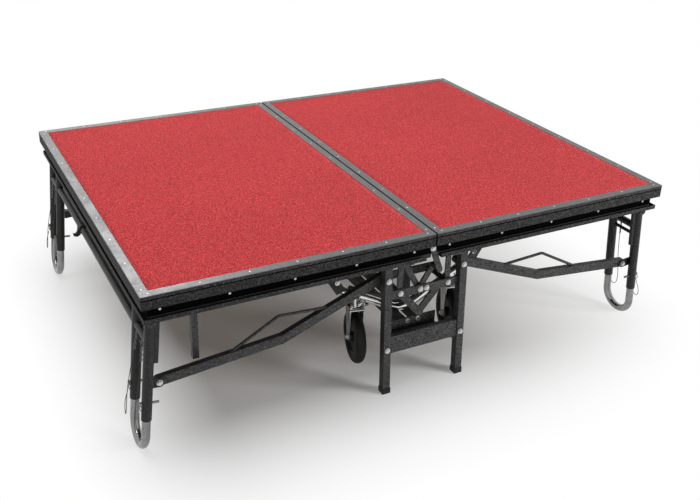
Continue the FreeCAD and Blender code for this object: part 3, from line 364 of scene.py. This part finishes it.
def smooth_line(points, name):
    """Points read from the NURBS spline that has a route's points as its control points."""
    curve = bpy.data.curves.new(name, "CURVE")
    curve.dimensions = "3D"
    spline = curve.splines.new("NURBS")
    spline.points.add(len(points) - 1)
    for target, point in zip(spline.points, points):
        target.co = (*point, 1)
    spline.order_u = 3
    spline.use_endpoint_u = True
    spline.resolution_u = 8
    holder = bpy.data.objects.new(name, curve)
    bpy.context.scene.collection.objects.link(holder)
    bpy.context.view_layer.update()
    mesh = bpy.data.meshes.new_from_object(holder.evaluated_get(bpy.context.evaluated_depsgraph_get()))
    line = [Vector(v.co) for v in mesh.vertices]
    bpy.data.objects.remove(holder)
    bpy.data.curves.remove(curve)
    bpy.data.meshes.remove(mesh)
    return line


CHAIN_LENGTH = 0.085
LINK_PITCH = 0.0105
LINK_HALF_WIDTH = 0.0042
LINK_WIRE = 0.0012


def chain_links(shape, line, length, pitch=LINK_PITCH):
    """Oval wire links along the first stretch of a line, each turned a quarter from the last."""
    travelled = 0.0
    wanted = pitch * 0.6
    turned = 0
    for a, b in zip(line, line[1:]):
        step = (b - a).length
        while travelled + step >= wanted and wanted < length:
            centre = a.lerp(b, (wanted - travelled) / step)
            way = (b - a).normalized()
            side = Vector((1, 0, 0)) if turned % 2 else Vector((0, 1, 0))
            side = (side - way * side.dot(way)).normalized()
            oval = []
            for k in range(16):
                t = 2 * math.pi * k / 16
                along = pitch * 0.62 * math.sin(t)
                across = LINK_HALF_WIDTH * math.cos(t)
                oval.append(centre + way * along + side * across)
            shape.tube(oval, LINK_WIRE, 6, closed=True)
            turned += 1
            wanted += pitch
        travelled += step


for sx, side, sy, end in CORNERS:
    legs = side + "_leg_frame"
    for label, length, pin_y, route in ROUTES:
        points = [leant(sx, sy, offset, y, z) for offset, y, z in route]
        line = smooth_line(points, "route")
        name = end + "_" + side + "_" + label + "_lanyard"
        wire = Shape()
        wire.tube(line, CORD_RADIUS, 8)
        cord = wire.build(name, "lanyard_wire", None, 60.0)
        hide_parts(side + "_lanyards")
        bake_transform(cord)
        links = Shape()
        chain_links(links, line, CHAIN_LENGTH)
        links.build(name + "_chain", "pin_steel", legs, 60.0)


# ---- carpets ------------------------------------------------------------------------------
CARPET_CELL = 0.026
CARPET_ROUND = 0.0022
CARPET_WAVE = 0.00035            # height of the faint waves, WAVES_PER_METRE across
WAVES_PER_METRE = 7
TOP_DROP = 0.0006                # the waves' middle below the top of the CAD carpet
EDGE_DROP = 0.0008               # the rounded edge below that
SIDE_FOOT = (0.0009, 0.0001)     # where the cut edge starts and ends, above the board


def carpet(side):
    """The carpet of one deck half, with a rounded cut edge, over the CAD carpet."""
    low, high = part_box(side + "_deck_carpet")
    nx = round((high.x - low.x) / CARPET_CELL)
    ny = round((high.y - low.y) / CARPET_CELL)
    edge = CARPET_ROUND
    xs = [low.x + edge * 0.3, low.x + edge] + [low.x + edge + (high.x - low.x - 2 * edge) * k / nx
                                               for k in range(1, nx)] + [high.x - edge, high.x - edge * 0.3]
    ys = [low.y + edge * 0.3, low.y + edge] + [low.y + edge + (high.y - low.y - 2 * edge) * k / ny
                                               for k in range(1, ny)] + [high.y - edge, high.y - edge * 0.3]
    verts, faces = [], []
    top = high.z
    for j, y in enumerate(ys):
        for i, x in enumerate(xs):
            on_edge = i in (0, len(xs) - 1) or j in (0, len(ys) - 1)
            wave = noise.noise(Vector((x * WAVES_PER_METRE, y * WAVES_PER_METRE, 3.1))) * CARPET_WAVE
            verts.append((x, y, top - TOP_DROP + (wave if not on_edge else -EDGE_DROP)))
    width = len(xs)
    for j in range(len(ys) - 1):
        for i in range(width - 1):
            a = j * width + i
            faces.append((a, a + 1, a + 1 + width, a + width))
    border = ([i for i in range(width)] + [j * width + width - 1 for j in range(1, len(ys))]
              + [(len(ys) - 1) * width + i for i in range(width - 2, -1, -1)]
              + [j * width for j in range(len(ys) - 2, 0, -1)])
    base = len(verts)
    for k in border:
        x, y, _ = verts[k]
        out_x = low.x if x < low.x + edge else (high.x if x > high.x - edge else x)
        out_y = low.y if y < low.y + edge else (high.y if y > high.y - edge else y)
        verts.append((out_x, out_y, low.z + SIDE_FOOT[0]))
    foot = len(verts)
    for k in range(len(border)):
        x, y, _ = verts[base + k]
        verts.append((x, y, low.z + SIDE_FOOT[1]))
    count = len(border)
    for k in range(count):
        n = (k + 1) % count
        faces.append((border[n], border[k], base + k, base + n))
        faces.append((base + n, base + k, foot + k, foot + n))
    faces.append(tuple(foot + k for k in reversed(range(count))))
    shape = Shape()
    shape.verts, shape.faces = verts, faces
    piece = shape.build(side + "_carpet", "red_carpet", side + "_deck", 50.0)
    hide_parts(side + "_deck_carpet")


for _, side in SIDES:
    carpet(side)


# ---- screws -------------------------------------------------------------------------------
SCREW_SIDES = 16
DOME = ((1.0, 0.0), (1.0, 0.35), (0.86, 0.72), (0.62, 0.95))      # shares of radius and of height
# The cross recess: shares of radius at its arms and between them, and of height, at rim and floor.
CROSS = ((0.56, 0.24, 0.98), (0.40, 0.14, 0.35))
TRIM_SCREW_RADIUS = 0.0041
RAIL_SCREW_RADIUS = 0.0052


def screw_head(shape, origin, direction, radius, height, spin):
    """Low domed head with a cross recess."""
    place = pointing(origin, direction, spin)

    def ring(reach, rise):
        return [place @ Vector((radius * reach(k) * math.cos(2 * math.pi * k / SCREW_SIDES),
                                radius * reach(k) * math.sin(2 * math.pi * k / SCREW_SIDES), height * rise))
                for k in range(SCREW_SIDES)]

    rings = [ring(lambda k: share, rise) for share, rise in DOME]
    rings += [ring(lambda k: arm if k % 4 == 0 else between, rise) for arm, between, rise in CROSS]
    shape.rings(rings)


FLAT_HEAD = 0.003                # a head no higher than this in Z faces up


def screw_places(side):
    """Seat of each separate head in the side's screw node, the way it faces and its height."""
    mesh = nodes[side + "_deck_screws"].data
    link = list(range(len(mesh.vertices)))

    def root(i):
        while link[i] != i:
            link[i] = link[link[i]]
            i = link[i]
        return i

    seen = {}
    for v in mesh.vertices:
        key = (round(v.co.x, 5), round(v.co.y, 5), round(v.co.z, 5))
        if key in seen:
            link[root(v.index)] = root(seen[key])
        else:
            seen[key] = v.index
    for edge in mesh.edges:
        a, b = edge.vertices
        link[root(a)] = root(b)
    groups = {}
    for v in mesh.vertices:
        groups.setdefault(root(v.index), []).append(v.co.copy())
    places = []
    for points in groups.values():
        low = Vector([min(p[i] for p in points) for i in range(3)])
        high = Vector([max(p[i] for p in points) for i in range(3)])
        middle = (low + high) / 2
        if high.z - low.z < FLAT_HEAD:
            places.append((Vector((middle.x, middle.y, low.z)), Vector((0, 0, 1)), high.z - low.z))
        else:
            way = 1 if middle.y > 0 else -1
            seat = low.y if way > 0 else high.y
            places.append((Vector((middle.x, seat, middle.z)), Vector((0, way, 0)), high.y - low.y))
    places.sort(key=lambda row: (round(row[0].z, 3), round(row[0].y, 3), round(row[0].x, 3)))
    return places


spins = random.Random(7)
for _, side in SIDES:
    heads = Shape()
    for origin, direction, height in screw_places(side):
        radius = TRIM_SCREW_RADIUS if direction.z > 0.5 else RAIL_SCREW_RADIUS
        screw_head(heads, origin, direction, radius, height, spins.uniform(0, math.pi / 2))
    piece = heads.build(side + "_screw_heads", "screw_zinc", side + "_deck", 40.0)
    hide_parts(side + "_deck_screws")


# ---- wheels -------------------------------------------------------------------------------
def mirrored(half):
    """Closed profile from its half on one side of the middle plane."""
    return half + [(radius, -height) for radius, height in reversed(half)]


TYRE = mirrored([(0.0785, 0.0185), (0.0790, 0.0212), (0.0815, 0.0222), (0.0900, 0.0224), (0.0985, 0.0222),
                 (0.0990, 0.0214), (0.1010, 0.0214), (0.1015, 0.0220), (0.1060, 0.0212), (0.1105, 0.0190),
                 (0.1145, 0.0155), (0.1172, 0.0110), (0.1188, 0.0060), (0.1193, 0.0052), (0.1185, 0.0046),
                 (0.1185, 0.0034), (0.1197, 0.0028), (0.1200, 0.0008)])
RIM = mirrored([(0.0084, 0.0279), (0.0200, 0.0279), (0.0216, 0.0266), (0.0220, 0.0245), (0.0222, 0.0095),
                (0.0250, 0.0064), (0.0420, 0.0060), (0.0440, 0.0072), (0.0480, 0.0072), (0.0500, 0.0060),
                (0.0640, 0.0062), (0.0672, 0.0085), (0.0686, 0.0145), (0.0700, 0.0160), (0.0755, 0.0160),
                (0.0772, 0.0166), (0.0783, 0.0180), (0.0784, 0.0150)])
LATHE_SIDES = 56
for joint in frame["joints"]:
    if not joint["name"].endswith("_wheel_spin"):
        continue
    wheel = joint["child"]
    hub = pointing(joint["pos_m"], joint["axis"])
    for label, profile, look, slot in (("tyre", TYRE, "tyre_rubber", "tyre_rubber"),
                                       ("rim", RIM, "rim_steel", "black_steel")):
        turned = Shape()
        turned.lathe(profile, hub, LATHE_SIDES, closed=True)
        piece = turned.build(wheel[:-len("wheel")] + label, look, wheel, 32.0)
        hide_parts(wheel)

# ---- bolts of the leg lugs ----------------------------------------------------------------
WASHER = (0.0128, 0.0020)        # radius and thickness
HEAD = (0.0098, 0.0087)          # radius to the corners, and top above the lug
LUG_BOLT = (-0.052, 0.8308, 0.312)      # from the leg's axis, Y and height, before the leg leans
LUG_BOLT_SPIN = 0.2


def bolt_cover(shape, origin, direction, spin):
    """Bright washer and chamfered hexagon head over a black one."""
    place = pointing(origin, direction, spin)
    radius, thick = WASHER
    shape.lathe([(radius - 0.0005, 0.0), (radius, 0.0005), (radius, thick - 0.0004),
                 (radius - 0.0004, thick)], place, 28)
    across, top = HEAD
    rings = []
    for share, height in ((1.0, thick - 0.0002), (1.0, top - 0.0016), (0.90, top - 0.0004),
                          (0.62, top), (0.2, top)):
        ring = []
        for k in range(24):
            angle = 2 * math.pi * k / 24
            sector = (angle + math.pi / 6) % (math.pi / 3) - math.pi / 6
            flat = across * math.cos(math.pi / 6) / math.cos(sector)
            reach = min(flat, across * 0.985) if share == 1.0 else min(flat, across * share)
            ring.append(place @ Vector((reach * math.cos(angle), reach * math.sin(angle), height)))
        rings.append(ring)
    shape.rings(rings)


for sx, side, sy, end in CORNERS:
    cover = Shape()
    bolt_cover(cover, leant(sx, sy, *LUG_BOLT), (0, sy, 0), LUG_BOLT_SPIN)
    cover.build(end + "_" + side + "_lug_bolt", "bolt_zinc", side + "_leg_frame", 30.0)


# ---- camera, floor and light --------------------------------------------------------------
def look_from(azimuth, elevation, roll, distance, target):
    """Camera matrix for a view towards a target from an azimuth and elevation, in degrees."""
    az, el, tilt = (math.radians(v) for v in (azimuth, elevation, roll))
    back = Vector((-math.sin(az) * math.cos(el), -math.cos(az) * math.cos(el), math.sin(el)))
    right = (-back).cross(Vector((0, 0, 1))).normalized()
    up = right.cross(-back)
    x_axis = right * math.cos(tilt) + up * math.sin(tilt)
    y_axis = up * math.cos(tilt) - right * math.sin(tilt)
    matrix = Matrix((x_axis, y_axis, back)).transposed().to_4x4()
    matrix.translation = Vector(target) + back * distance
    return matrix


# The camera that was fitted to the deck's corners in the photo.
AZIMUTH, ELEVATION, ROLL = 27.52, 25.478, 1.480
DISTANCE = 4.5296
LOOKS_AT = (0.0046, -0.001, 0.4022)
camera_data = bpy.data.cameras.new("camera")
camera_data.lens = 46.69
camera_data.sensor_width = 36.0
camera_data.shift_x = 0.0232
camera_data.shift_y = -0.0429
camera_data.clip_end = 200.0
camera = bpy.data.objects.new("camera", camera_data)
camera.matrix_world = look_from(AZIMUTH, ELEVATION, ROLL, DISTANCE, LOOKS_AT)
bpy.context.scene.collection.objects.link(camera)
bpy.context.scene.camera = camera

FLOOR_REACH = 60.0
FLOOR_DROP = 0.0005
floor_mesh = bpy.data.meshes.new("floor")
floor_mesh.from_pydata([(sx * FLOOR_REACH, sy * FLOOR_REACH, 0)
                        for sx, sy in ((-1, -1), (1, -1), (1, 1), (-1, 1))], [], [(0, 1, 2, 3)])
floor = bpy.data.objects.new("floor", floor_mesh)
floor.location.z = -FLOOR_DROP
bpy.context.scene.collection.objects.link(floor)
# Where the floor starts to turn white and where it is white, along each way out of the middle. The blend starts
# under the deck, so it paints light over part of the deck's shadow, most under the right half, where it starts
# 0.35 m out.
WHITE_AND_PAINTED_LIGHT_ZONES = (("X", 1, 0.35, 1.60), ("X", -1, 0.85, 1.50), ("Y", 1, 0.72, 1.45), ("Y", -1, 0.72, 1.47))


def node_math(tree, operation, a, b=None):
    """One maths node on sockets or plain numbers."""
    node = tree.nodes.new("ShaderNodeMath")
    node.operation = operation
    for socket, value in zip(node.inputs, (a, b)):
        if value is None:
            continue
        if isinstance(value, float):
            socket.default_value = value
        else:
            tree.links.new(value, socket)
    return node.outputs[0]


def seen_ray(tree):
    """1 for the rays that show the background: straight, in a reflection or through glass."""
    ray = tree.nodes.new("ShaderNodeLightPath")
    seen = node_math(tree, "MAXIMUM", ray.outputs["Is Camera Ray"], ray.outputs["Is Glossy Ray"])
    return node_math(tree, "MAXIMUM", seen, ray.outputs["Is Transmission Ray"])


def floor_material():
    """Pale floor that keeps its shadow near the object and is plain white further out; the blend to white reaches
    in under the deck and paints light over part of that shadow, most on the right.
    """
    material, tree, shader = new_material("floor", 0.9, Specular_IOR_Level=0.1)
    shader.inputs["Base Color"].default_value = (0.90, 0.90, 0.90, 1)
    place = tree.nodes.new("ShaderNodeTexCoord")
    parts = tree.nodes.new("ShaderNodeSeparateXYZ")
    tree.links.new(place.outputs["Object"], parts.inputs["Vector"])
    total = None
    for axis, way, near, far_off in WHITE_AND_PAINTED_LIGHT_ZONES:
        along = node_math(tree, "MULTIPLY", parts.outputs[axis], float(way))
        share = levels(tree, along, near, far_off, 0.0, 1.0)
        square = node_math(tree, "POWER", share, 2.0)
        total = square if total is None else node_math(tree, "ADD", total, square)
    white_and_painted_light = node_math(tree, "MINIMUM", node_math(tree, "SQRT", total), 1.0)
    white = tree.nodes.new("ShaderNodeEmission")
    mix = tree.nodes.new("ShaderNodeMixShader")
    tree.links.new(node_math(tree, "MULTIPLY", white_and_painted_light, seen_ray(tree)), mix.inputs[0])
    tree.links.new(shader.outputs[0], mix.inputs[1])
    tree.links.new(white.outputs[0], mix.inputs[2])
    out = next(node for node in tree.nodes if node.type == "OUTPUT_MATERIAL")
    tree.links.new(mix.outputs[0], out.inputs["Surface"])
    return material


floor_mesh.materials.append(floor_material())

SKY_LIGHT = 0.21
world = bpy.data.worlds.new("studio")
bpy.context.scene.world = world
world.use_nodes = True
sky = world.node_tree
sky.nodes.clear()
sky_out = sky.nodes.new("ShaderNodeOutputWorld")
soft = sky.nodes.new("ShaderNodeBackground")
soft.inputs["Color"].default_value = (1, 1, 1, 1)
soft.inputs["Strength"].default_value = SKY_LIGHT
paper = sky.nodes.new("ShaderNodeBackground")
paper.inputs["Color"].default_value = (1, 1, 1, 1)
backdrop = sky.nodes.new("ShaderNodeMixShader")
sky.links.new(seen_ray(sky), backdrop.inputs[0])
sky.links.new(soft.outputs[0], backdrop.inputs[1])
sky.links.new(paper.outputs[0], backdrop.inputs[2])
sky.links.new(backdrop.outputs[0], sky_out.inputs["Surface"])


def softbox(name, place, target, size, power, in_reflections=True):
    """Rectangular lamp that faces a target; the low side lamp stays out of the metal's reflections."""
    data = bpy.data.lights.new(name, "AREA")
    data.shape = "RECTANGLE"
    data.size, data.size_y = size
    data.energy = power
    lamp = bpy.data.objects.new(name, data)
    lamp.location = place
    lamp.rotation_euler = (Vector(target) - Vector(place)).to_track_quat("-Z", "Y").to_euler()
    lamp.visible_glossy = in_reflections
    bpy.context.scene.collection.objects.link(lamp)


softbox("key", (-0.9, 0.6, 6.0), (-0.3, 0.1, 0.4), (5.0, 4.0), 205.0)
softbox("corner", (0.05, 4.2, 3.8), (-1.2, -0.9, 0.72), (1.6, 1.0), 32.0)
softbox("back", (-0.55, 6.0, 3.9), (-0.8, 0, 0.7), (3.2, 2.4), 34.0)
softbox("front", (4.2, -4.7, 1.45), (0.6, -0.6, 0.5), (2.4, 1.6), 400.0, False)

bpy.context.scene.view_settings.view_transform = "Standard"
